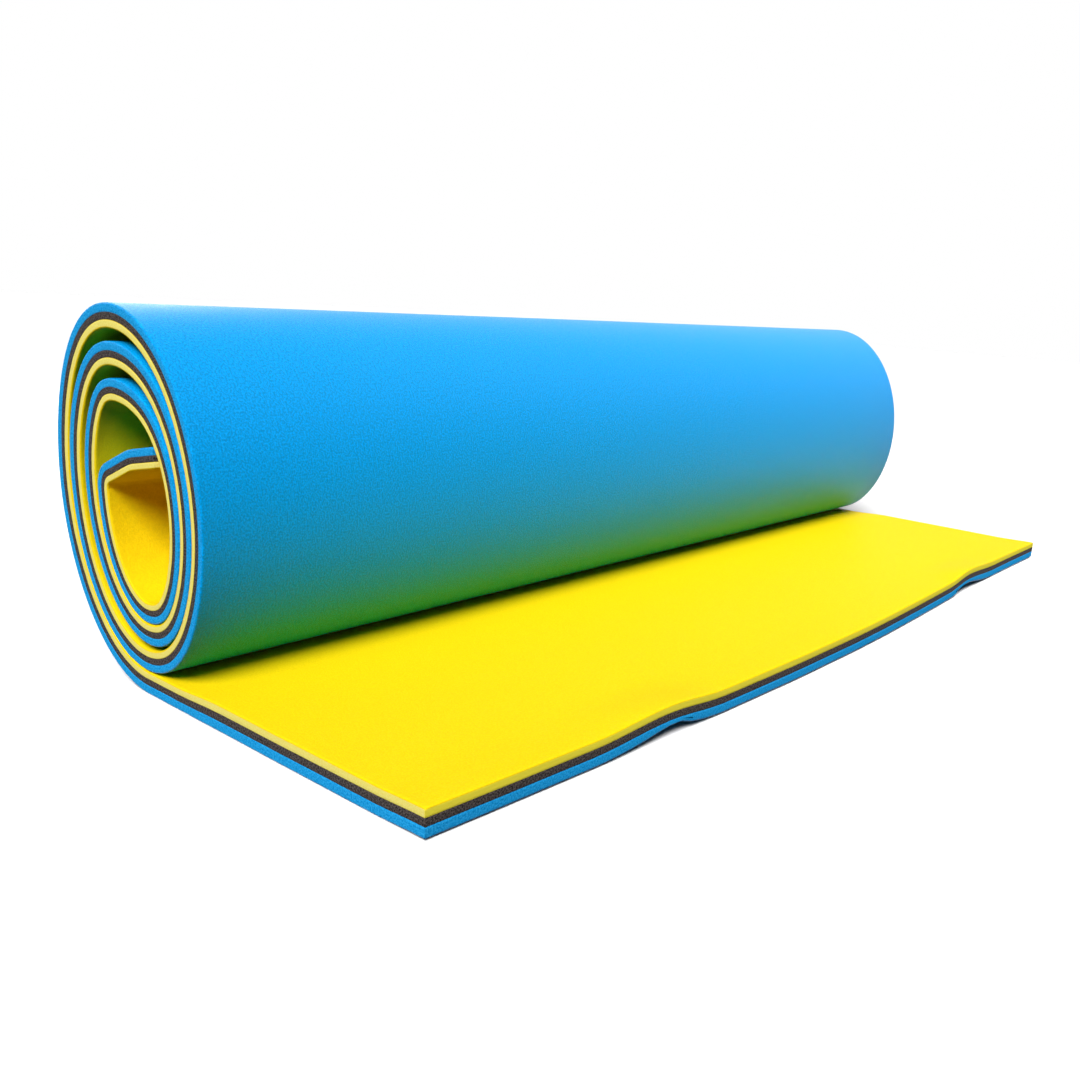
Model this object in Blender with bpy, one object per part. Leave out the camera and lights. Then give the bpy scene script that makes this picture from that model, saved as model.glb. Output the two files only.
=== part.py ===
"""Swim float mat of three laminated foam plies, rolled up with its free end lying flat.

Frame: +X points from the roll to the free end, +Y runs along the roll, +Z is up.
The flat run lies on z = 0, and the origin is under the middle of the footprint.

The roll's section is drawn by how far the blue face reaches from the roll's middle in
each direction, square to itself. "turn" counts the turns wound from the floor: up the
left side, over the top and down the right side. A face deeper in the sheet reaches that
much less, so the faces of all plies and turns stay parallel. Towards the core the foam
is squeezed thinner, and so it is down the right side. The turns stand apart over the
top, and the second one off the third low on the left. The core sets the roll's size.

The sheet is divided at bend lines into stiff pieces, so that it can bend there. It is
as thick as a loose sheet from the second tail piece outwards, and its free edge bows
out between its two corners.
"""

import math

import bmesh
import bpy
from mathutils import Vector

# Sheet
MAT_WIDTH = 1.829
MAT_THICKNESS = 0.034
ROLLED_THICKNESS = 0.030
PLIES = ("blue_ply", "core_ply", "yellow_ply")
PLY_SHARES = (0.38, 0.29, 0.33)
GLUE_LINE = 0.0003

# Rolled section
CORE_REACH = 0.1179
UPRIGHT_OVAL = 0.0295
LEAN = 0.0085
END_ROUNDING = 0.0015
TOUCHING_GAP = 0.0008
CROWN_GAP = 0.0135
CROWN_SHARPNESS = (3, 2, 3)
SHARPER_ON_RIGHT = 2
LOOSE_GAP = 0.010
LOOSEST_TURN = 2.12
LOOSE_HALF_TURNS = 0.30
SQUEEZED_SHARE = 0.05
RIGHT_SQUEEZED_SHARE = 0.18
TURNS_WOUND = 3.25
STEPS_PER_TURN = 48
SLOPE_STEP_TURNS = 0.0001

# Inner end, folded over across the core, with its lengths as shares of the core's reach
INNER_BEND_SHARE = 0.30
INNER_BEND_DEGREES = 67
INNER_SLOPE_SHARE = 0.407
INNER_EASE_SHARE = 0.933
INNER_EASE_DEGREES = 12
INNER_TIP_GAP = 0.002
DEGREES_PER_STEP = 7

# Flat run
BASE_LENGTH = 0.0636
TAIL_LENGTH = 0.440
TAIL_PIECES = 5

# Bend lines up the left side
RISE_PIECES = 6
RISE_TURNS = 0.25
SLIT = 0.0006

# Free edge, bowed out from its corners, with its fall sharper on the far side
EDGE_BOW = 0.028
BOW_MIDDLE_Y = -0.10
NEAR_BOW_SHARPNESS = 1
FAR_BOW_SHARPNESS = 2.5

# Two ripples in the free edge, where the sheet stands off the floor
RIPPLE_MIDDLES_Y = (-0.53, 0.52)
RIPPLE_HALF_LENGTH = 0.11
RIPPLE_LIFT = 0.006
DENT_DEPTH = 0.0035
EDGE_STEPS = 4
WIDTH_STEPS = 72
SHARP_DEGREES = 30

# Foam colours and roughness
BLUE = (0.0, 0.31, 0.80, 1.0)
CHARCOAL = (0.042, 0.036, 0.036, 1.0)
YELLOW = (1.0, 0.78, 0.0, 1.0)
SKIN_ROUGHNESS = 0.55
CORE_ROUGHNESS = 0.9

FULL_TURN = 2 * math.pi
QUARTER_TURN = math.pi / 2
HALF_WIDTH = MAT_WIDTH / 2
TAIL_PIECE_LENGTH = TAIL_LENGTH / TAIL_PIECES


def turned(vector, angle):
    """The vector in the section, turned from +X towards +Z."""
    cos, sin = math.cos(angle), math.sin(angle)
    return Vector((cos * vector.x - sin * vector.y, sin * vector.x + cos * vector.y))


def bearing(turn):
    """Direction in which the blue face looks after so many turns."""
    return -QUARTER_TURN - FULL_TURN * turn


def right_squeeze(turn):
    """Share by which the sheet is thinner where it looks to the right."""
    return RIGHT_SQUEEZED_SHARE * max(math.cos(bearing(turn)), 0) ** 2


def squeezed_thickness(turn):
    """Thickness of the wound sheet, less for each turn that it lies deeper."""
    return ROLLED_THICKNESS * (1 - SQUEEZED_SHARE * turn) * (1 - right_squeeze(turn))


def wound_depth(turn):
    """How much less this turn reaches than the first, without the gaps over the top."""
    squeeze = ROLLED_THICKNESS * SQUEEZED_SHARE / 2
    return (ROLLED_THICKNESS + TOUCHING_GAP + squeeze) * turn - squeeze * turn ** 2


def crown_share(turn):
    """How much of each gap over the top lies outside this turn, summed."""
    height = (1 - math.cos(FULL_TURN * turn)) / 2
    if math.cos(bearing(turn)) > 0:
        height **= SHARPER_ON_RIGHT
    gaps_outside = CROWN_SHARPNESS[:int(turn)]
    return sum(height ** sharpness for sharpness in gaps_outside)


def loose_share(turn):
    """How much of the gap low on the left lies outside this turn."""
    if turn < LOOSEST_TURN - LOOSE_HALF_TURNS:
        return 0
    off = abs(math.remainder(turn - LOOSEST_TURN, 1)) / LOOSE_HALF_TURNS
    return math.cos(min(off, 1) * QUARTER_TURN) ** 2


def reach(turn):
    """Distance of the blue face from the roll's middle, square to the face."""
    angle = bearing(turn)
    outline = (CORE_REACH + wound_depth(TURNS_WOUND)
               - UPRIGHT_OVAL * math.cos(2 * angle)
               - LEAN * math.sin(2 * angle)
               - END_ROUNDING * math.cos(4 * angle))
    squeezed = right_squeeze(turn) * (wound_depth(turn) - wound_depth(turn % 1))
    gaps = CROWN_GAP * crown_share(turn) + LOOSE_GAP * loose_share(turn)
    return outline - wound_depth(turn) + squeezed - gaps


def from_middle(turn):
    """Point on the blue face from the roll's middle, and where the face looks."""
    angle = bearing(turn)
    normal = Vector((math.cos(angle), math.sin(angle)))
    along = turned(normal, QUARTER_TURN)
    rise = reach(turn - SLOPE_STEP_TURNS) - reach(turn + SLOPE_STEP_TURNS)
    slope = rise / (2 * SLOPE_STEP_TURNS * FULL_TURN)
    return normal * reach(turn) + along * slope, normal


LEFT_SIDE = 0.25
MIDDLE_TO_FREE_END = from_middle(0)[0].x + BASE_LENGTH + TAIL_LENGTH
ROLL_MIDDLE = Vector(((reach(LEFT_SIDE) - MIDDLE_TO_FREE_END - EDGE_BOW) / 2, reach(0)))
FREE_END_X = ROLL_MIDDLE.x + MIDDLE_TO_FREE_END
TAIL_START_X = FREE_END_X - TAIL_LENGTH


def wound(turn):
    """A station on the wound sheet: point on the blue face, its normal, thickness."""
    offset, normal = from_middle(turn)
    return ROLL_MIDDLE + offset, normal, squeezed_thickness(turn)


def wound_run(start, end):
    """Stations from one turn to another, on the grid that every turn shares."""
    steps = round((end - start) * STEPS_PER_TURN)
    return [wound(start + (end - start) * step / steps) for step in range(steps + 1)]


def flat_thickness(x):
    """Thickness of the flat run, which grows over the first tail piece."""
    share = min(max((x - TAIL_START_X) / TAIL_PIECE_LENGTH, 0), 1)
    return ROLLED_THICKNESS + (MAT_THICKNESS - ROLLED_THICKNESS) * share


def flat_run(start_x, end_x, steps):
    """Stations along the flat run, from the free end towards the roll."""
    places = [start_x + (end_x - start_x) * step / steps for step in range(steps + 1)]
    return [(Vector((x, 0)), Vector((0, -1)), flat_thickness(x)) for x in places]


def bend_on(stations, radius, degrees):
    """Go on round a bend towards the yellow side, with this radius at the blue face."""
    point, normal, thickness = stations[-1]
    centre = point - normal * radius
    steps = math.ceil(degrees / DEGREES_PER_STEP)
    for step in range(1, steps + 1):
        direction = turned(normal, -math.radians(degrees * step / steps))
        stations.append((centre + direction * radius, direction, thickness))


def straight_on(stations, length):
    """Go straight on."""
    point, normal, thickness = stations[-1]
    stations.append((point + turned(normal, -QUARTER_TURN) * length, normal, thickness))


def run_to_wall(point, direction):
    """How far a point in the core can go this way before it comes to the last turn."""
    runs = []
    for step in range(STEPS_PER_TURN):
        turn = TURNS_WOUND - step / STEPS_PER_TURN
        angle = bearing(turn)
        normal = Vector((math.cos(angle), math.sin(angle)))
        wall = reach(turn) - squeezed_thickness(turn)
        room = wall - (point - ROLL_MIDDLE).dot(normal)
        if direction.dot(normal) > 0:
            runs.append((room - INNER_TIP_GAP) / direction.dot(normal))
    return min(runs)


def inner_end_run():
    """Stations of the inner end, from the left side over to the right one."""
    stations = [wound(TURNS_WOUND)]
    bend_on(stations, CORE_REACH * INNER_BEND_SHARE, INNER_BEND_DEGREES)
    straight_on(stations, CORE_REACH * INNER_SLOPE_SHARE)
    bend_on(stations, CORE_REACH * INNER_EASE_SHARE, INNER_EASE_DEGREES)
    point, normal, _ = stations[-1]
    straight_on(stations, run_to_wall(point, turned(normal, -QUARTER_TURN)))
    return stations


def with_slits(stations, at_start=True, at_end=True):
    """Draw the ends back by half a slit, so that neighbours don't touch."""
    trimmed = list(stations)
    if at_start:
        point, normal, thickness = trimmed[0]
        point = point + turned(normal, -QUARTER_TURN) * SLIT / 2
        trimmed[0] = (point, normal, thickness)
    if at_end:
        point, normal, thickness = trimmed[-1]
        point = point - turned(normal, -QUARTER_TURN) * SLIT / 2
        trimmed[-1] = (point, normal, thickness)
    return trimmed


def bow_share(y):
    """How much of the bow stands out at this place along the free edge."""
    if y < BOW_MIDDLE_Y:
        off = (BOW_MIDDLE_Y - y) / (BOW_MIDDLE_Y + HALF_WIDTH)
        return math.cos(off * QUARTER_TURN) ** NEAR_BOW_SHARPNESS
    off = (y - BOW_MIDDLE_Y) / (HALF_WIDTH - BOW_MIDDLE_Y)
    return math.cos(off * QUARTER_TURN) ** FAR_BOW_SHARPNESS


def ripple_share(y):
    """How far up a ripple stands at this place along the free edge."""
    share = 0.0
    for middle in RIPPLE_MIDDLES_Y:
        off = abs(y - middle) / RIPPLE_HALF_LENGTH
        share += math.cos(min(off, 1) * QUARTER_TURN) ** 2
    return share


def edge_share(x):
    """How far along the last tail piece this place is, from its bend line."""
    return max(1 - (FREE_END_X - x) / TAIL_PIECE_LENGTH, 0)


def free_edge_shift(at, y, dent):
    """How far the bow and the ripples move a point of the last tail piece."""
    along = edge_share(at.x)
    lift = ripple_share(y) * along ** 2
    return Vector((EDGE_BOW * bow_share(y) * along, (RIPPLE_LIFT + dent) * lift))


def ply_depths(ply, thickness):
    """Depths of a ply's two faces, measured from the blue face of the sheet."""
    last = len(PLIES) - 1
    outer = thickness * sum(PLY_SHARES[:ply]) + (GLUE_LINE / 2 if ply > 0 else 0)
    inner = thickness * sum(PLY_SHARES[:ply + 1]) - (GLUE_LINE / 2 if ply < last else 0)
    return outer, inner


def ply_mesh(name, stations, ply, origin, rippled):
    """One ply of one piece: its section along the stations, run along the roll."""
    width_steps = WIDTH_STEPS if rippled else 1
    bm = bmesh.new()
    rows = []
    for step in range(width_steps + 1):
        y = MAT_WIDTH * step / width_steps - HALF_WIDTH
        row = []
        for point, normal, thickness in stations:
            outer_depth, inner_depth = ply_depths(ply, thickness)
            outer = point - normal * outer_depth
            inner = point - normal * inner_depth
            if rippled:
                outer = outer + free_edge_shift(outer, y, DENT_DEPTH if ply == 0 else 0)
                inner = inner + free_edge_shift(inner, y, 0)
            row.append([bm.verts.new(Vector((at.x, y, at.y)) - origin)
                        for at in (outer, inner)])
        rows.append(row)
    for near, far in zip(rows, rows[1:]):
        for side in (0, 1):
            for here, there in zip(range(len(near)), range(1, len(near))):
                bm.faces.new((near[here][side], near[there][side],
                              far[there][side], far[here][side]))
        for end in (0, -1):
            bm.faces.new((near[end][0], near[end][1], far[end][1], far[end][0]))
    for row in (rows[0], rows[-1]):
        for here, there in zip(row, row[1:]):
            bm.faces.new((here[0], here[1], there[1], there[0]))
    bmesh.ops.recalc_face_normals(bm, faces=bm.faces)
    mesh = bpy.data.meshes.new(name)
    bm.to_mesh(mesh)
    bm.free()
    mesh.shade_smooth()
    mesh.set_sharp_from_angle(angle=math.radians(SHARP_DEGREES))
    return mesh


def foam(name, colour, roughness):
    """A plain foam material."""
    material = bpy.data.materials.new(name)
    material.use_nodes = True
    shader = material.node_tree.nodes["Principled BSDF"]
    shader.inputs["Base Color"].default_value = colour
    shader.inputs["Roughness"].default_value = roughness
    shader.inputs["Metallic"].default_value = 0
    material.diffuse_color = colour
    return material


def in_space(at):
    """A point of the section, in the frame."""
    return Vector((at.x, 0, at.y))


def add_body(name, stations, hinge, parent=None, rippled=False):
    """One stiff piece of the sheet: its plies, carried by an empty on its bend line."""
    pivot = bpy.data.objects.new(name + "_bend_line", None)
    bpy.context.scene.collection.objects.link(pivot)
    if parent:
        parent_pivot, parent_hinge = parent
        pivot.parent = parent_pivot
        pivot.location = in_space(hinge - parent_hinge)
    for ply, ply_name in enumerate(PLIES):
        node = name + "_" + ply_name
        mesh = ply_mesh(node, stations, ply, in_space(hinge), rippled)
        mesh.materials.append(FOAMS[ply])
        piece = bpy.data.objects.new(node, mesh)
        bpy.context.scene.collection.objects.link(piece)
        piece.parent = pivot
    return pivot, hinge


for old in list(bpy.data.objects):
    bpy.data.objects.remove(old, do_unlink=True)

FOAMS = (foam("blue_foam", BLUE, SKIN_ROUGHNESS),
         foam("charcoal_foam", CHARCOAL, CORE_ROUGHNESS),
         foam("yellow_foam", YELLOW, SKIN_ROUGHNESS))

lift_off = wound(0)[0]
flat_stations = flat_run(TAIL_START_X, lift_off.x, 1)
base = add_body("base", with_slits(flat_stations), Vector((0, 0)))

# Free end, bending up on lines in the yellow face
body = base
for number in range(1, TAIL_PIECES + 1):
    start_x = TAIL_START_X + TAIL_PIECE_LENGTH * number
    end_x = start_x - TAIL_PIECE_LENGTH
    last = number == TAIL_PIECES
    flat_stations = flat_run(start_x, end_x, EDGE_STEPS if last else 1)
    body = add_body(f"tail_{number}", with_slits(flat_stations, at_start=not last),
                    Vector((end_x, flat_thickness(end_x))), body, rippled=last)

# Left side, opening out on lines in the blue face
body = base
for number in range(1, RISE_PIECES + 1):
    start = RISE_TURNS * (number - 1) / RISE_PIECES
    end = RISE_TURNS * number / RISE_PIECES
    body = add_body(f"rise_{number}", with_slits(wound_run(start, end)),
                    wound(start)[0], body)

roll = add_body("roll", with_slits(wound_run(RISE_TURNS, TURNS_WOUND)),
                wound(RISE_TURNS)[0], body)
inner_stations = inner_end_run()
add_body("inner_end", with_slits(inner_stations, at_end=False),
         inner_stations[0][0], roll)
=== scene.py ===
"""Looks of the rolled swim float mat: three foam plies with satin skins and cut edges.

The section is the one that the solids have: reach of the blue face from the roll's
middle, square to itself, by the number of turns wound. Each ply is cut into strips that
meet in the middle of the stiff bodies, so that the strips between them each span one joint.
Lengths are in metres. Y runs across the sheet, from its middle.
"""

import math

import bpy
from mathutils import Matrix, Vector, noise


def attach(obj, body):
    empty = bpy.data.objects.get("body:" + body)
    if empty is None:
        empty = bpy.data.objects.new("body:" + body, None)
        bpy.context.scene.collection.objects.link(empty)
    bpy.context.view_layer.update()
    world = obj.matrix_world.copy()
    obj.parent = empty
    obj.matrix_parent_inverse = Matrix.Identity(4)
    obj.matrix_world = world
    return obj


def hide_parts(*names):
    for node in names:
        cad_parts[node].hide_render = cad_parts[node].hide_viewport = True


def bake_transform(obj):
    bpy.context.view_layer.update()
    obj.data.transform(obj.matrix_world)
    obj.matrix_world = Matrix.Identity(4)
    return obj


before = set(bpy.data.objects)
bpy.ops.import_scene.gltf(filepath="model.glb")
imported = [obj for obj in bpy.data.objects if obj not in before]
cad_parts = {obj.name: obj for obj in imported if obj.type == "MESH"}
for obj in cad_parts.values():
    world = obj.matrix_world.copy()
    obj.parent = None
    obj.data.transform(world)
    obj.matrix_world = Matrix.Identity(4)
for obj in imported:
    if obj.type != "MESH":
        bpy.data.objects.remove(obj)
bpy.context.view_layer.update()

FULL_TURN = 2 * math.pi
QUARTER_TURN = math.pi / 2

# Sheet, as the solids have it
MAT_WIDTH = 1.829
HALF_WIDTH = MAT_WIDTH / 2
MAT_THICKNESS = 0.034
ROLLED_THICKNESS = 0.030
PLIES = ("blue_ply", "core_ply", "yellow_ply")
PLY_SHARES = (0.38, 0.29, 0.33)

# Rolled section
CORE_REACH = 0.1179
UPRIGHT_OVAL = 0.0295
LEAN = 0.0085
END_ROUNDING = 0.0015
TOUCHING_GAP = 0.0008
CROWN_GAP = 0.0135
CROWN_SHARPNESS = (3, 2, 3)
SHARPER_ON_RIGHT = 2
LOOSE_GAP = 0.010
LOOSEST_TURN = 2.12
LOOSE_HALF_TURNS = 0.30
SQUEEZED_SHARE = 0.05
RIGHT_SQUEEZED_SHARE = 0.18
TURNS_WOUND = 3.25
LEFTMOST_TURN = 0.25
SLOPE_STEP_TURNS = 0.0001

# Inner end, folded over across the core, with its lengths as shares of the core's reach
FOLD_START_TURNS = 0.03
INNER_BEND_SHARE = 0.30
INNER_BEND_DEGREES = 67
INNER_JOIN_SHARE = 0.5
INNER_SLOPE_SHARE = 0.407
INNER_EASE_SHARE = 0.933
INNER_EASE_DEGREES = 12
INNER_TIP_GAP = 0.002
WALL_STEPS_PER_TURN = 48

# Flat run and bend lines
BASE_LENGTH = 0.0636
TAIL_LENGTH = 0.440
TAIL_PIECES = 5
TAIL_PIECE_LENGTH = TAIL_LENGTH / TAIL_PIECES
RISE_PIECES = 6
RISE_TURNS = 0.25

# Free edge, bowed out from its corners. The bow dies out where the second strip ends: the
# breaks between the strips have to be straight.
EDGE_BOW = 0.028
BOW_MIDDLE_Y = -0.10
NEAR_BOW_SHARPNESS = 1
FAR_BOW_SHARPNESS = 2.5
BOW_LENGTH = TAIL_PIECE_LENGTH * 1.5

# Two ripples of the free edge, and the blue ply thinned below them
EDGE_STAND = 0.0022
LIFT_LENGTH = TAIL_PIECE_LENGTH * 0.9
NEAR_RIPPLE_LIFT = 0.0075
NEAR_RIPPLE_Y = (-0.68, -0.535, -0.42)
FAR_RIPPLE_LIFT = 0.0075
FAR_RIPPLE_Y = (0.38, 0.49, 0.66)
THINNED_DEPTH = 0.0060
THINNED_LENGTH = 0.05
NEAR_THIN_Y = (-0.605, -0.52)
NEAR_STEP_Y = (-0.498, -0.488)
FAR_STEP_Y = (0.425, 0.445)
FAR_THIN_Y = (0.47, 0.60)

# Rounded edges, and rows close together where they are
SKIN_GAP = 0.0001
SKIN_ROUNDING = 0.0020
JOINT_ROUNDING = 0.0004
ROUNDED_END = 0.002
ROUNDING_SHARES = (0, 0.06, 0.25, 0.55, 1)
EDGE_ROWS = (0.004, 0.008, 0.014, 0.022, 0.034, 0.050)
SHARP_DEGREES = 40

# Waves of the cut edges. Waves are per metre, and a place is a spot in the noise.
CUT_MARGIN = 0.0006
CUT_WAVE = 0.0005
CUT_FADE = 0.012
CUT_SLOW_WAVES = 9
CUT_SLOW_SIDE_PLACE = 7.3
CUT_SLOW_PLACE = 1.7
CUT_QUICK_WAVES = 70
CUT_QUICK_SIDE_PLACE = 3.1
CUT_DEPTH_WAVES = 120
CUT_QUICK_SHARE = 0.4
FREE_END_SIDE = 2

# Swell of the two skins. The blue one starts where the sheet has left the floor.
SWELL = 0.0004
SWELL_SLOW_WAVES = (3.2, 2.6)
SWELL_QUICK_WAVES = (11, 6)
SWELL_QUICK_PLACE = 5
SWELL_QUICK_SHARE = 0.35
FACE_BAND_SHARE = 1 / 6
BLUE_SWELL_PLACE = 0
BLUE_SWELL_START = (0.04, 0.12)
BLUE_SWELL_LAST_TURN = 1.05
YELLOW_SWELL_PLACE = 9

# Fineness of the meshes
FLAT_STEP = 0.006
ROLL_STEP = 0.003
ROW_STEP = 0.024
BEND_STEP_DEGREES = 2.5
CUT_ROWS = 4

# Skins: fine orange peel over a broad mottle
WHITE = (1.0, 1.0, 1.0, 1.0)
BLUE = (0.001, 0.335, 0.82, 1.0)
BLUE_SHEEN = (0.12, 0.50, 1.0, 1.0)
YELLOW = (0.93, 0.66, 0.004, 1.0)
SKIN_DETAIL = 3
PEEL_SCALE = 420
PEEL_ROUGHNESS = 0.6
PEEL_TINTED = (0.40, 0.60)
PEEL_GLOSSY = (0.3, 0.7)
PEEL_GLOSS_SPREAD = 0.05
MOTTLE_SCALE = 60
MOTTLE_STRENGTH = 0.3
MOTTLE_DEPTH = 0.0015

# Cut faces: matt, with open cells. Each has a dark and a light colour.
BLUE_CUT = ((0.0, 0.28, 0.72, 1), (0.03, 0.48, 0.96, 1))
CHARCOAL_CUT = ((0.010, 0.008, 0.008, 1), (0.12, 0.10, 0.095, 1))
YELLOW_CUT = ((0.96, 0.80, 0.14, 1), (1.0, 0.90, 0.26, 1))
# Painted light: the cut at the free end takes the skin's deep yellow, painted lighter than the
# skin, as if more light fell on that face.
FREE_END_PAINTED_LIGHT_YELLOW = (1.0, 0.86, 0.06, 1)
FREE_CUT_LENGTH = 0.0015
CELL_SCALE = 480
CELL_DETAIL = 1
CELL_STRENGTH = 0.6
CELL_DEPTH = 0.0006
CUT_ROUGHNESS = 0.85
CUT_SHEEN = 0.1

# Floor and light
FLOOR_SIZE = 30
FLOOR_GAP = 0.0003
FLOOR_COLOUR = (0.03, 0.03, 0.03, 1)
FLOOR_SEEN_COLOUR = (0.98, 0.98, 0.98, 1)
HORIZON_LIGHT = 0.0
ZENITH_LIGHT = 0.05
KEY_LIGHT = 4.45
KEY_ANGLE = 30
KEY_FROM = Vector((0.35, -0.57, 0.74))

# Camera. The photograph is cropped off its lens's middle.
PHOTO_WIDTH = 1080
FOCAL_PIXELS = 1043.1
PICTURE_MIDDLE = 600
SENSOR_WIDTH = 36
CLIP_START = 0.05
CAMERA_FROM_FREE_END = 0.6628
CAMERA_Y = -1.5195
CAMERA_HEIGHT = 0.5101
CAMERA_YAW = math.radians(37.91)
CAMERA_PITCH = math.radians(-16.29)
CAMERA_ROLL = math.radians(3.92)


def turned(vector, angle):
    """The vector in the section, turned from +X towards +Z."""
    cos, sin = math.cos(angle), math.sin(angle)
    return Vector((cos * vector.x - sin * vector.y, sin * vector.x + cos * vector.y))


def bearing(turn):
    """Direction in which the blue face looks after so many turns."""
    return -QUARTER_TURN - FULL_TURN * turn


def right_squeeze(turn):
    """Share by which the sheet is thinner where it looks to the right."""
    return RIGHT_SQUEEZED_SHARE * max(math.cos(bearing(turn)), 0) ** 2


def squeezed_thickness(turn):
    """Thickness of the wound sheet, less for each turn that it lies deeper."""
    return ROLLED_THICKNESS * (1 - SQUEEZED_SHARE * turn) * (1 - right_squeeze(turn))


def wound_depth(turn):
    """How much less this turn reaches than the first, without the gaps over the top."""
    squeeze = ROLLED_THICKNESS * SQUEEZED_SHARE / 2
    return (ROLLED_THICKNESS + TOUCHING_GAP + squeeze) * turn - squeeze * turn ** 2


def crown_share(turn):
    """How much of each gap over the top lies outside this turn, summed."""
    height = (1 - math.cos(FULL_TURN * turn)) / 2
    if math.cos(bearing(turn)) > 0:
        height **= SHARPER_ON_RIGHT
    gaps_outside = CROWN_SHARPNESS[:int(turn)]
    return sum(height ** sharpness for sharpness in gaps_outside)


def loose_share(turn):
    """How much of the gap low on the left lies outside this turn."""
    if turn < LOOSEST_TURN - LOOSE_HALF_TURNS:
        return 0
    off = abs(math.remainder(turn - LOOSEST_TURN, 1)) / LOOSE_HALF_TURNS
    return math.cos(min(off, 1) * QUARTER_TURN) ** 2


def reach(turn):
    """Distance of the blue face from the roll's middle, square to the face."""
    angle = bearing(turn)
    outline = (CORE_REACH + wound_depth(TURNS_WOUND)
               - UPRIGHT_OVAL * math.cos(2 * angle)
               - LEAN * math.sin(2 * angle)
               - END_ROUNDING * math.cos(4 * angle))
    squeezed = right_squeeze(turn) * (wound_depth(turn) - wound_depth(turn % 1))
    gaps = CROWN_GAP * crown_share(turn) + LOOSE_GAP * loose_share(turn)
    return outline - wound_depth(turn) + squeezed - gaps


def from_middle(turn):
    """Point on the blue face from the roll's middle, and where the face looks."""
    angle = bearing(turn)
    normal = Vector((math.cos(angle), math.sin(angle)))
    along = turned(normal, QUARTER_TURN)
    rise = reach(turn - SLOPE_STEP_TURNS) - reach(turn + SLOPE_STEP_TURNS)
    slope = rise / (2 * SLOPE_STEP_TURNS * FULL_TURN)
    return normal * reach(turn) + along * slope, normal


# Places in the section that follow from the roll, with the mat's middle at X = 0
MIDDLE_TO_FREE_END = from_middle(0)[0].x + BASE_LENGTH + TAIL_LENGTH
ROLL_MIDDLE = Vector(((reach(LEFTMOST_TURN) - MIDDLE_TO_FREE_END - EDGE_BOW) / 2, reach(0)))
FREE_END_X = ROLL_MIDDLE.x + MIDDLE_TO_FREE_END
TAIL_START_X = FREE_END_X - TAIL_LENGTH
LIFT_OFF_X = ROLL_MIDDLE.x + from_middle(0)[0].x


class Station:
    """One place along the sheet: blue face, where it looks, thickness and turns wound.

    The lengths to it from the free end and from it to the tip are filled in at the end.
    """

    def __init__(self, point, normal, thickness, turn=0.0):
        self.point = point
        self.normal = normal
        self.thickness = thickness
        self.turn = turn
        self.along = 0.0
        self.to_tip = 0.0


def smooth(value, start, end):
    """0 before start, 1 after end, smooth between them."""
    share = min(max((value - start) / (end - start), 0), 1)
    return share * share * (3 - 2 * share)


def bump(value, start, top, end):
    """Rises from start to top and falls again to end."""
    return smooth(value, start, top) * (1 - smooth(value, top, end))


def flat_station(x):
    """A station on the floor. The sheet gains its full thickness along the first tail piece."""
    share = smooth(x, TAIL_START_X, TAIL_START_X + TAIL_PIECE_LENGTH)
    thickness = ROLLED_THICKNESS + (MAT_THICKNESS - ROLLED_THICKNESS) * share
    return Station(Vector((x, 0)), Vector((0, -1)), thickness)


def wound_station(turn):
    """A station in the roll, after so many turns."""
    offset, normal = from_middle(turn)
    return Station(ROLL_MIDDLE + offset, normal, squeezed_thickness(turn), turn)


def stations_between(make, start, end, step):
    """Stations from start to end, both included, about a step apart."""
    count = max(1, math.ceil(abs(end - start) / step))
    return [make(start + (end - start) * i / count) for i in range(count + 1)]


def bend_on(stations, radius, degrees):
    """Go on round a bend towards the yellow side, with this radius at the blue face."""
    last = stations[-1]
    centre = last.point - last.normal * radius
    steps = math.ceil(degrees / BEND_STEP_DEGREES)
    for step in range(1, steps + 1):
        direction = turned(last.normal, -math.radians(degrees * step / steps))
        point = centre + direction * radius
        stations.append(Station(point, direction, last.thickness, last.turn))


def straight_on(stations, length):
    """Go straight on."""
    last = stations[-1]
    ahead = turned(last.normal, -QUARTER_TURN)
    steps = math.ceil(length / ROLL_STEP)
    for step in range(1, steps + 1):
        point = last.point + ahead * length * step / steps
        stations.append(Station(point, last.normal, last.thickness, last.turn))


def run_to_wall(point, direction):
    """How far a point in the core can go this way before it comes to the last turn."""
    runs = []
    for step in range(WALL_STEPS_PER_TURN):
        turn = TURNS_WOUND - step / WALL_STEPS_PER_TURN
        angle = bearing(turn)
        normal = Vector((math.cos(angle), math.sin(angle)))
        wall = reach(turn) - squeezed_thickness(turn)
        room = wall - (point - ROLL_MIDDLE).dot(normal)
        if direction.dot(normal) > 0:
            runs.append((room - INNER_TIP_GAP) / direction.dot(normal))
    return min(runs)


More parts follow.
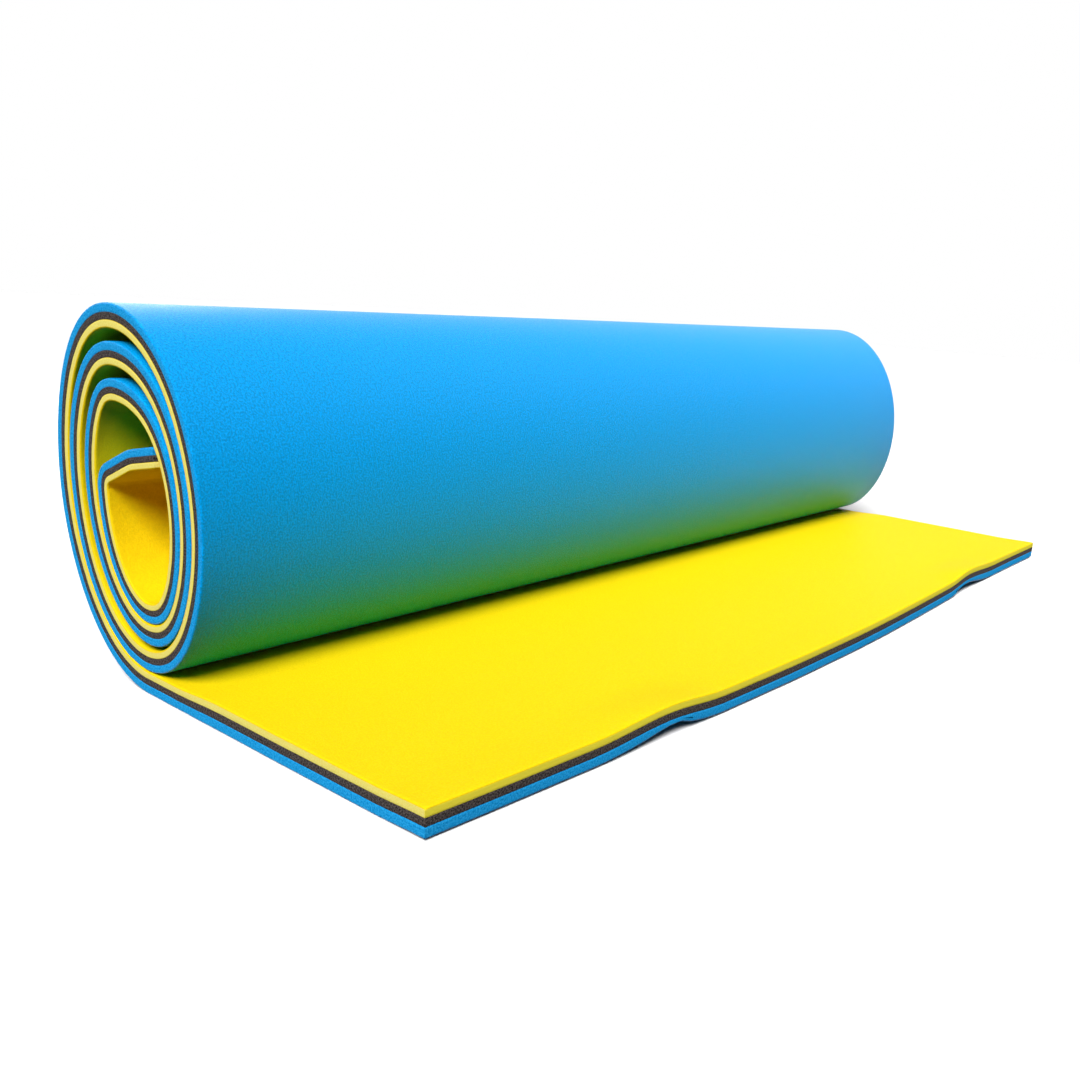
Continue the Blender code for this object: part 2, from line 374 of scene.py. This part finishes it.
def whole_sheet():
    """Every station from the free end to the tip, and the breaks between the strips."""
    flat_breaks = [FREE_END_X - TAIL_PIECE_LENGTH * (number + 0.5) for number in range(TAIL_PIECES)]
    flat_breaks.append((TAIL_START_X + LIFT_OFF_X) / 2)
    rise = RISE_TURNS / RISE_PIECES
    turn_breaks = [rise * (number + 0.5) for number in range(RISE_PIECES)]
    turn_breaks += [RISE_TURNS + rise / 2, TURNS_WOUND - FOLD_START_TURNS]

    stations = [flat_station(FREE_END_X - ROUNDED_END * share) for share in ROUNDING_SHARES[:-1]]
    breaks = []
    here = FREE_END_X - ROUNDED_END
    for there in flat_breaks:
        stations += stations_between(flat_station, here, there, FLAT_STEP)[:-1]
        breaks.append(len(stations))
        here = there
    stations += stations_between(flat_station, here, LIFT_OFF_X, FLAT_STEP)[:-1]
    here = 0.0
    for there in turn_breaks:
        step = ROLL_STEP / (FULL_TURN * reach(there))
        stations += stations_between(wound_station, here, there, step)[:-1]
        breaks.append(len(stations))
        here = there
    step = ROLL_STEP / (FULL_TURN * reach(TURNS_WOUND))
    stations += stations_between(wound_station, here, TURNS_WOUND, step)
    bend_on(stations, CORE_REACH * INNER_BEND_SHARE, INNER_BEND_DEGREES * INNER_JOIN_SHARE)
    breaks.append(len(stations) - 1)
    bend_on(stations, CORE_REACH * INNER_BEND_SHARE, INNER_BEND_DEGREES * (1 - INNER_JOIN_SHARE))
    straight_on(stations, CORE_REACH * INNER_SLOPE_SHARE)
    bend_on(stations, CORE_REACH * INNER_EASE_SHARE, INNER_EASE_DEGREES)
    last = stations[-1]
    room = run_to_wall(last.point, turned(last.normal, -QUARTER_TURN))
    straight_on(stations, room - ROUNDED_END)
    shares = ROUNDING_SHARES[::-1]
    for before, after in zip(shares, shares[1:]):
        straight_on(stations, ROUNDED_END * (before - after))

    middle = [s.point - s.normal * s.thickness / 2 for s in stations]
    for before, station, a, b in zip(stations, stations[1:], middle, middle[1:]):
        station.along = before.along + (b - a).length
    for station in stations:
        station.to_tip = stations[-1].along - station.along
    return stations, breaks


def rows_across():
    """Places across the sheet, as distances from the near cut edge, closer near the edges."""
    half = [SKIN_ROUNDING * share for share in ROUNDING_SHARES]
    half += EDGE_ROWS
    start = half[-1]
    count = math.ceil((HALF_WIDTH - start) / ROW_STEP)
    half += [start + (HALF_WIDTH - start) * i / count for i in range(1, count)]
    return half + [HALF_WIDTH] + [MAT_WIDTH - at for at in reversed(half)]


def bow(along, y):
    """How far the free end bows out between its corners."""
    if y < BOW_MIDDLE_Y:
        off = (BOW_MIDDLE_Y - y) / (BOW_MIDDLE_Y + HALF_WIDTH)
        share = math.cos(min(off, 1) * QUARTER_TURN) ** NEAR_BOW_SHARPNESS
    else:
        off = (y - BOW_MIDDLE_Y) / (HALF_WIDTH - BOW_MIDDLE_Y)
        share = math.cos(min(off, 1) * QUARTER_TURN) ** FAR_BOW_SHARPNESS
    return EDGE_BOW * share * max(1 - along / BOW_LENGTH, 0)


def edge_lift(along, y):
    """How far the free end stands off the floor."""
    share = 1 - along / LIFT_LENGTH
    if share <= 0:
        return 0
    near = NEAR_RIPPLE_LIFT * bump(y, *NEAR_RIPPLE_Y)
    far = FAR_RIPPLE_LIFT * bump(y, *FAR_RIPPLE_Y)
    return (EDGE_STAND + near + far) * smooth(share, 0, 1)


def edge_thinning(along, y):
    """How much the blue ply is thinned from below in the two ripples."""
    share = 1 - along / THINNED_LENGTH
    if share <= 0:
        return 0
    near = smooth(y, *NEAR_THIN_Y) * (1 - smooth(y, *NEAR_STEP_Y))
    far = smooth(y, *FAR_STEP_Y) * (1 - smooth(y, *FAR_THIN_Y))
    return THINNED_DEPTH * (near + far) * smooth(share, 0, 1)


def rounded_off(radius, across, along):
    """How far a face falls back near an edge that is rounded with this radius."""
    a = max(radius - across, 0)
    b = max(radius - along, 0)
    return radius - math.sqrt(max(radius * radius - a * a - b * b, 0))


def ply_depths(ply, thickness):
    """Depths of a ply's two faces, measured from the blue face of the sheet."""
    last = len(PLIES) - 1
    outer = thickness * sum(PLY_SHARES[:ply]) + (SKIN_GAP / 2 if ply > 0 else 0)
    inner = thickness * sum(PLY_SHARES[:ply + 1]) - (SKIN_GAP / 2 if ply < last else 0)
    return outer, inner


def cut_wave(along, side, depth):
    """How far a cut edge wanders to the inside. Each side has its own wave."""
    slow = noise.noise(Vector((along * CUT_SLOW_WAVES, side * CUT_SLOW_SIDE_PLACE, CUT_SLOW_PLACE)))
    quick = noise.noise(Vector((along * CUT_QUICK_WAVES, side * CUT_QUICK_SIDE_PLACE,
                                depth * CUT_DEPTH_WAVES)))
    return CUT_MARGIN + CUT_WAVE * (slow + CUT_QUICK_SHARE * quick)


def swell(along, y, place):
    """The skin is never quite flat: a slow rise and fall."""
    slow_x, slow_y = SWELL_SLOW_WAVES
    quick_x, quick_y = SWELL_QUICK_WAVES
    slow = noise.noise(Vector((along * slow_x, y * slow_y, place)))
    quick = noise.noise(Vector((along * quick_x, y * quick_y, place + SWELL_QUICK_PLACE)))
    return SWELL * (slow + SWELL_QUICK_SHARE * quick)


def ring(station, ply, rows):
    """A ply's closed outline at one station: row, depth and distance from a cut edge."""
    outer, inner = ply_depths(ply, station.thickness)
    outer_radius = SKIN_ROUNDING if ply == 0 else JOINT_ROUNDING
    inner_radius = SKIN_ROUNDING if ply == len(PLIES) - 1 else JOINT_ROUNDING
    from_end = min(station.along, station.to_tip)
    points = []

    def face(depth, radius, inward, where):
        for row in where:
            edge = min(row, MAT_WIDTH - row)
            fall = rounded_off(radius, edge, from_end)
            points.append((row, depth + fall * inward, edge))

    def cut(row, near_depth, far_depth):
        for step in range(1, CUT_ROWS):
            points.append((row, near_depth + (far_depth - near_depth) * step / CUT_ROWS, 0))

    top, bottom = outer + outer_radius, inner - inner_radius
    face(outer, outer_radius, 1, rows)
    cut(MAT_WIDTH, top, bottom)
    face(inner, inner_radius, -1, reversed(rows))
    cut(0, bottom, top)
    return points


def placed(station, ply, row, depth, edge):
    """Where a point of the sheet lies in the frame."""
    y = row - HALF_WIDTH
    side = -1 if row < HALF_WIDTH else 1
    fade = max(1 - edge / CUT_FADE, 0)
    across = y - side * cut_wave(station.along, side, depth) * fade
    at = station.point - station.normal * depth
    on_blue = ply == 0 and depth < station.thickness * FACE_BAND_SHARE
    on_yellow = ply == len(PLIES) - 1 and depth > station.thickness * (1 - FACE_BAND_SHARE)
    if on_blue and station.turn < BLUE_SWELL_LAST_TURN:
        rise = swell(station.along, y, BLUE_SWELL_PLACE) - SWELL
        at = at + station.normal * (rise * smooth(station.turn, *BLUE_SWELL_START))
    up = edge_lift(station.along, y)
    if station.turn == 0:
        at = at + Vector((bow(station.along, y), 0))
        if on_blue:
            up += edge_thinning(station.along, y)
        if on_yellow:
            up += swell(station.along, y, YELLOW_SWELL_PLACE) - SWELL
        if station.along < CUT_FADE:
            wander = cut_wave(y, FREE_END_SIDE, depth) - CUT_MARGIN
            at = at + Vector((wander * (1 - station.along / CUT_FADE), 0))
    return Vector((at.x, across, at.y + up))


def ply_strip(name, stations, ply):
    """One ply between two breaks, closed all round."""
    rows = rows_across()
    face_count = len(rows)
    verts, sheet = [], []
    for station in stations:
        for row, depth, edge in ring(station, ply, rows):
            verts.append(placed(station, ply, row, depth, edge))
            sheet.append((station.along, row, depth))
    count = len(verts) // len(stations)
    far_cut = range(face_count - 1, face_count - 1 + CUT_ROWS)
    near_cut = range(2 * face_count + CUT_ROWS - 2, count)
    cut_segments = set(far_cut) | set(near_cut)
    faces, finish = [], []
    for i in range(len(stations) - 1):
        a, b = i * count, (i + 1) * count
        for k in range(count):
            k2 = (k + 1) % count
            faces.append((a + k, a + k2, b + k2, b + k))
            finish.append(1 if k in cut_segments else 0)
    finish_caps(stations, ply, rows, verts, sheet, faces, finish, count)
    mesh = bpy.data.meshes.new(name)
    mesh.from_pydata(verts, [], faces)
    mesh.polygons.foreach_set("material_index", finish)
    attribute = mesh.attributes.new("sheet", "FLOAT_VECTOR", "POINT")
    attribute.data.foreach_set("vector", [value for at in sheet for value in at])
    mesh.update()
    piece = bpy.data.objects.new(name, mesh)
    bpy.context.scene.collection.objects.link(piece)
    mesh.shade_smooth()
    mesh.set_sharp_from_angle(angle=math.radians(SHARP_DEGREES))
    return piece


def finish_caps(stations, ply, rows, verts, sheet, faces, finish, count):
    """Close both ends of a strip with a grid, so that a cut end has points of its own."""
    face_count = len(rows)
    for index, station in ((0, stations[0]), (len(stations) - 1, stations[-1])):
        base = index * count
        columns = []
        for k, row in enumerate(rows):
            outer = base + k
            inner = base + 2 * face_count + CUT_ROWS - 2 - k
            if k == 0:
                between = [base + j for j in range(count - 1, count - CUT_ROWS, -1)]
            elif k == face_count - 1:
                between = [base + face_count + j for j in range(CUT_ROWS - 1)]
            else:
                between = []
                edge = min(row, MAT_WIDTH - row)
                for step in range(1, CUT_ROWS):
                    share = step / CUT_ROWS
                    depth = sheet[outer][2] * (1 - share) + sheet[inner][2] * share
                    between.append(len(verts))
                    verts.append(placed(station, ply, row, depth, edge))
                    sheet.append((station.along, row, depth))
            columns.append([outer] + between + [inner])
        for here, there in zip(columns, columns[1:]):
            for a, b, c, d in zip(here, there, there[1:], here[1:]):
                faces.append((a, b, c, d) if index else (d, c, b, a))
                finish.append(1)


def shader_of(material):
    """The material's surface."""
    return material.node_tree.nodes["Principled BSDF"]


def node(owner, kind, **values):
    """A new node of a material or the world, its properties and inputs set by name."""
    made = owner.node_tree.nodes.new(kind)
    for name, value in values.items():
        if name in made.inputs:
            made.inputs[name].default_value = value
        else:
            setattr(made, name, value)
    return made


def link(owner, source, target):
    """Join two nodes of a material or the world."""
    owner.node_tree.links.new(source, target)


def grain(material, scale, detail, roughness=0.5):
    """Noise that sticks to the sheet, with cells about 1 / scale metres across."""
    place = node(material, "ShaderNodeAttribute", attribute_name="sheet")
    made = node(material, "ShaderNodeTexNoise", Scale=scale, Detail=detail, Roughness=roughness)
    link(material, place.outputs["Vector"], made.inputs["Vector"])
    return made.outputs["Fac"]


def ramp(material, value, low, high, dark, light):
    """A colour that goes from dark to light as the value goes from low to high."""
    made = node(material, "ShaderNodeValToRGB")
    made.color_ramp.elements[0].position = low
    made.color_ramp.elements[0].color = dark
    made.color_ramp.elements[1].position = high
    made.color_ramp.elements[1].color = light
    link(material, value, made.inputs["Fac"])
    return made.outputs["Color"]


def ranged(owner, value, low, high, to_low, to_high):
    """The value, moved from one range to another."""
    made = node(owner, "ShaderNodeMapRange")
    made.inputs["From Min"].default_value = low
    made.inputs["From Max"].default_value = high
    made.inputs["To Min"].default_value = to_low
    made.inputs["To Max"].default_value = to_high
    link(owner, value, made.inputs["Value"])
    return made.outputs["Result"]


def raised(material, height, strength, distance, below=None):
    """A bump from a height, on top of another bump."""
    made = node(material, "ShaderNodeBump", Strength=strength, Distance=distance)
    link(material, height, made.inputs["Height"])
    if below:
        link(material, below, made.inputs["Normal"])
    return made.outputs["Normal"]


def scaled(colour, factor):
    """The colour, darker or lighter by this factor."""
    return tuple(min(channel * factor, 1) for channel in colour[:3]) + (1,)


def skin(name, colour, contrast, peel_depth, roughness, sheen, sheen_colour=WHITE):
    """The closed skin of a foam ply: satin, with a fine orange peel."""
    material = bpy.data.materials.new(name)
    material.use_nodes = True
    shader = shader_of(material)
    peel = grain(material, PEEL_SCALE, SKIN_DETAIL, PEEL_ROUGHNESS)
    mottle = grain(material, MOTTLE_SCALE, SKIN_DETAIL)
    dark, light = scaled(colour, 1 - contrast), scaled(colour, 1 + contrast)
    link(material, ramp(material, peel, *PEEL_TINTED, dark, light), shader.inputs["Base Color"])
    gloss = ranged(material, peel, *PEEL_GLOSSY,
                   roughness + PEEL_GLOSS_SPREAD, roughness - PEEL_GLOSS_SPREAD)
    link(material, gloss, shader.inputs["Roughness"])
    shader.inputs["Specular IOR Level"].default_value = sheen
    shader.inputs["Specular Tint"].default_value = sheen_colour
    low = raised(material, mottle, MOTTLE_STRENGTH, MOTTLE_DEPTH)
    link(material, raised(material, peel, 1, peel_depth, low), shader.inputs["Normal"])
    material.diffuse_color = colour
    return material


def cut_foam(name, colours, contrast):
    """A cut face of foam: matt, with the opened cells as specks."""
    dark, light = colours
    material = bpy.data.materials.new(name)
    material.use_nodes = True
    shader = shader_of(material)
    cells = grain(material, CELL_SCALE, CELL_DETAIL)
    tint = ramp(material, cells, 0.5 - contrast, 0.5 + contrast, dark, light)
    link(material, tint, shader.inputs["Base Color"])
    shader.inputs["Roughness"].default_value = CUT_ROUGHNESS
    shader.inputs["Specular IOR Level"].default_value = CUT_SHEEN
    link(material, raised(material, cells, CELL_STRENGTH, CELL_DEPTH), shader.inputs["Normal"])
    material.diffuse_color = light
    return material


def paint_light_on_free_end_cut(material, colour):
    """Paint the cut at the free end the skin's deep yellow, made lighter as painted light on that
    face.
    """
    shader = shader_of(material)
    place = node(material, "ShaderNodeAttribute", attribute_name="sheet")
    parts = node(material, "ShaderNodeSeparateXYZ")
    link(material, place.outputs["Vector"], parts.inputs[0])
    at_end = ranged(material, parts.outputs["X"], 0, FREE_CUT_LENGTH, 1, 0)
    mix = node(material, "ShaderNodeMix", data_type="RGBA")
    link(material, at_end, mix.inputs["Factor"])
    link(material, shader.inputs["Base Color"].links[0].from_socket, mix.inputs["A"])
    mix.inputs["B"].default_value = colour
    link(material, mix.outputs["Result"], shader.inputs["Base Color"])


blue_skin = skin("blue_skin", BLUE, contrast=0.20, peel_depth=0.0010, roughness=0.36,
                 sheen=0.20, sheen_colour=BLUE_SHEEN)
yellow_skin = skin("yellow_skin", YELLOW, contrast=0.04, peel_depth=0.0006, roughness=0.55,
                   sheen=0.06)
blue_cut = cut_foam("blue_cut", BLUE_CUT, contrast=0.15)
charcoal_cut = cut_foam("charcoal_cut", CHARCOAL_CUT, contrast=0.16)
yellow_cut = cut_foam("yellow_cut", YELLOW_CUT, contrast=0.2)
# The free end's cut gets the skin's yellow with painted light on it.
paint_light_on_free_end_cut(yellow_cut, FREE_END_PAINTED_LIGHT_YELLOW)
FINISHES = ((blue_skin, blue_cut), (charcoal_cut, charcoal_cut), (yellow_skin, yellow_cut))

# The chain of bodies from the free end to the tip, and a strip across each joint
CHAIN = ([f"tail_{number}" for number in range(TAIL_PIECES, 0, -1)] + ["base"]
         + [f"rise_{number}" for number in range(1, RISE_PIECES + 1)] + ["roll", "inner_end"])
stations, breaks = whole_sheet()
edges = [0] + breaks + [len(stations) - 1]


def nodes_of(ply, *bodies):
    """Names of the solids that a strip stands for."""
    return [body + "_" + PLIES[ply] for body in bodies]


def dress(piece, ply):
    """Give a strip its skin and its cut faces."""
    for material in FINISHES[ply]:
        piece.data.materials.append(material)


# A strip lies between two breaks. Breaks lie in the middle of each body, except that the
# roll has two, so its own stretch rides on it whole.
roll_at = CHAIN.index("roll")
for ply, ply_name in enumerate(PLIES):
    for index, (start, end) in enumerate(zip(edges, edges[1:])):
        stretch = stations[start:end + 1]
        if index == 0:
            piece = ply_strip(f"{ply_name}_free_end", stretch, ply)
            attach(piece, CHAIN[0])
            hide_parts(*nodes_of(ply, CHAIN[0]))
        elif index == roll_at + 1:
            piece = ply_strip(f"{ply_name}_roll", stretch, ply)
            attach(piece, "roll")
            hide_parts(*nodes_of(ply, "roll"))
        elif index == len(edges) - 2:
            piece = ply_strip(f"{ply_name}_inner_end", stretch, ply)
            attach(piece, "inner_end")
            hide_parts(*nodes_of(ply, "inner_end"))
        else:
            first = index - 1 if index <= roll_at else index - 2
            a, b = CHAIN[first], CHAIN[first + 1]
            piece = ply_strip(f"{ply_name}_{a}_to_{b}", stretch, ply)
            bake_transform(piece)
            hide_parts(*nodes_of(ply, a, b))
        dress(piece, ply)


def background_rays(owner):
    """1 for the camera, and for metal and glass that show the background; 0 for the light."""
    path = node(owner, "ShaderNodeLightPath")
    seen_by = path.outputs["Is Camera Ray"]
    for ray in ("Is Glossy Ray", "Is Transmission Ray"):
        most = node(owner, "ShaderNodeMath", operation="MAXIMUM")
        link(owner, seen_by, most.inputs[0])
        link(owner, path.outputs[ray], most.inputs[1])
        seen_by = most.outputs[0]
    return seen_by


def add_floor():
    """Floor that the camera sees as white, with the mat's shadow on it."""
    bpy.ops.mesh.primitive_plane_add(size=FLOOR_SIZE, location=(0, 0, -FLOOR_GAP))
    floor = bpy.context.object
    floor.name = "floor"
    material = bpy.data.materials.new("studio_floor")
    material.use_nodes = True
    material.node_tree.nodes.clear()
    out = node(material, "ShaderNodeOutputMaterial")
    diffuse = node(material, "ShaderNodeBsdfDiffuse")
    tone = ramp(material, background_rays(material), 0, 1, FLOOR_COLOUR, FLOOR_SEEN_COLOUR)
    link(material, tone, diffuse.inputs["Color"])
    link(material, diffuse.outputs[0], out.inputs["Surface"])
    floor.data.materials.append(material)


def add_world():
    """Faint light, brighter from above. The camera, metal and glass see white."""
    world = bpy.data.worlds.new("studio")
    bpy.context.scene.world = world
    world.use_nodes = True
    world.node_tree.nodes.clear()
    out = node(world, "ShaderNodeOutputWorld")
    direction = node(world, "ShaderNodeTexCoord")
    parts = node(world, "ShaderNodeSeparateXYZ")
    link(world, direction.outputs["Generated"], parts.inputs[0])
    strength = ranged(world, parts.outputs["Z"], 0, 1, HORIZON_LIGHT, ZENITH_LIGHT)
    light = node(world, "ShaderNodeBackground", Color=WHITE)
    link(world, strength, light.inputs["Strength"])
    seen = node(world, "ShaderNodeBackground", Color=WHITE, Strength=1)
    mix = node(world, "ShaderNodeMixShader")
    link(world, background_rays(world), mix.inputs["Fac"])
    link(world, light.outputs[0], mix.inputs[1])
    link(world, seen.outputs[0], mix.inputs[2])
    link(world, mix.outputs[0], out.inputs["Surface"])


def add_key():
    """Even soft light from high up on the camera's side."""
    lamp = bpy.data.lights.new("key", "SUN")
    lamp.energy = KEY_LIGHT
    lamp.angle = math.radians(KEY_ANGLE)
    holder = bpy.data.objects.new("key", lamp)
    bpy.context.scene.collection.objects.link(holder)
    holder.rotation_euler = (-KEY_FROM).to_track_quat("-Z", "Y").to_euler()


def add_softbox(name, place, aim, size, watts):
    """A rectangular lamp that looks from its place to its aim."""
    lamp = bpy.data.lights.new(name, "AREA")
    lamp.shape = "RECTANGLE"
    lamp.size, lamp.size_y = size
    lamp.energy = watts
    holder = bpy.data.objects.new(name, lamp)
    bpy.context.scene.collection.objects.link(holder)
    holder.location = place
    holder.rotation_euler = (Vector(aim) - Vector(place)).to_track_quat("-Z", "Y").to_euler()


def add_camera():
    """The photograph's camera, from its yaw, pitch and roll."""
    camera = bpy.data.cameras.new("camera")
    camera.sensor_width = SENSOR_WIDTH
    camera.lens = SENSOR_WIDTH * FOCAL_PIXELS / PHOTO_WIDTH
    off_middle = PICTURE_MIDDLE / PHOTO_WIDTH - 0.5
    camera.shift_x = -off_middle
    camera.shift_y = off_middle
    camera.clip_start = CLIP_START
    holder = bpy.data.objects.new("camera", camera)
    bpy.context.scene.collection.objects.link(holder)
    ahead = Vector((-math.sin(CAMERA_YAW) * math.cos(CAMERA_PITCH),
                    math.cos(CAMERA_YAW) * math.cos(CAMERA_PITCH),
                    math.sin(CAMERA_PITCH)))
    right = Vector((math.cos(CAMERA_YAW), math.sin(CAMERA_YAW), 0))
    up = right.cross(ahead)
    tilted_right = math.cos(CAMERA_ROLL) * right + math.sin(CAMERA_ROLL) * up
    tilted_up = -math.sin(CAMERA_ROLL) * right + math.cos(CAMERA_ROLL) * up
    turn = Matrix((tilted_right, tilted_up, -ahead)).transposed()
    place = Vector((CAMERA_FROM_FREE_END + FREE_END_X, CAMERA_Y, CAMERA_HEIGHT))
    holder.matrix_world = Matrix.Translation(place) @ turn.to_4x4()
    bpy.context.scene.camera = holder


add_floor()
add_world()
add_key()
add_softbox("back_softbox", place=(0.9, 0.8, 1.9), aim=(0.0, -0.4, 0.36), size=(0.4, 1.4), watts=13)
add_softbox("left_softbox", place=(-3.0, 0.0, 1.6), aim=(-0.3, 0.0, 0.2), size=(2.0, 2.0), watts=32)
add_camera()
bpy.context.scene.view_settings.view_transform = "Standard"
